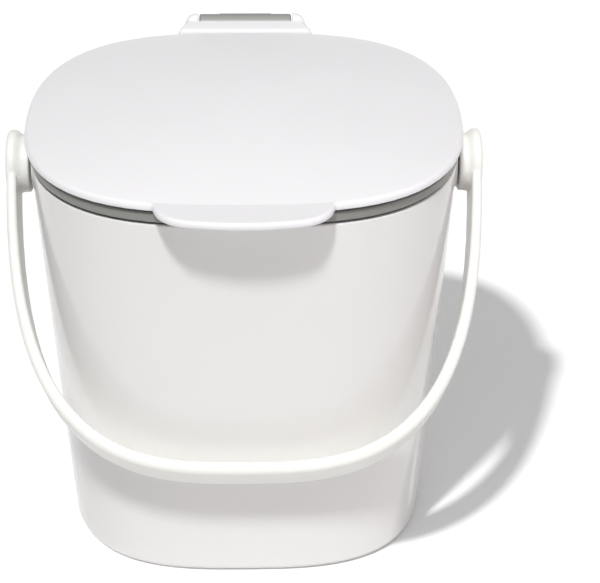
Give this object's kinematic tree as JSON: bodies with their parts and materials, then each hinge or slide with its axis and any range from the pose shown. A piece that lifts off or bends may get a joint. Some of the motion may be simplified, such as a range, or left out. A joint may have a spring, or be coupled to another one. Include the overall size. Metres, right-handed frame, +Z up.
{
  "type": "compost caddy",
  "caption": "Tapered kitchen compost caddy with a domed hinged lid, a front finger tab and a swinging bail handle",
  "frame": {"origin": "centre of the bin's standing face", "axes": "+Z up; -Y is the front with the lid's finger tab, where the bail hangs at rest; +Y is the hinge side; +X is to the right seen from the front"},
  "size_m": [0.2454, 0.2708, 0.2278],
  "materials": {
    "bin_plastic": "satin white",
    "stud_plastic": "satin white",
    "hinge_plastic": "satin mid grey",
    "pin_steel": "drawn",
    "lid_plastic": "smooth white",
    "liner_plastic": "satin mid grey",
    "seal_rubber": "soft dark grey",
    "handle_plastic": "satin warm white"
  },
  "bodies": {
    "bin": {"bin_body": "bin_plastic", "stud_left": "stud_plastic", "stud_right": "stud_plastic"},
    "hinge_carrier": {"hinge_block": "hinge_plastic"},
    "lid": {"lid_cover": "lid_plastic", "lid_liner": "liner_plastic", "lid_seal": "seal_rubber", "hinge_pin": "pin_steel"},
    "handle": {"handle": "handle_plastic"}
  },
  "joints": [
    {"name": "lid_lift", "type": "slide", "parent": "bin", "child": "hinge_carrier", "axis": [0, 0, 1], "range_m": [0, 0.034]},
    {"name": "lid_hinge", "type": "hinge", "parent": "hinge_carrier", "child": "lid", "pos_m": [0, 0.13245, 0.2166], "axis": [-1, 0, 0], "range_deg": [0, 108]},
    {"name": "handle_swing", "type": "hinge", "parent": "bin", "child": "handle", "pos_m": [0, 0, 0.19], "axis": [-1, 0, 0], "range_deg": [0, 270.5]}
  ]
}
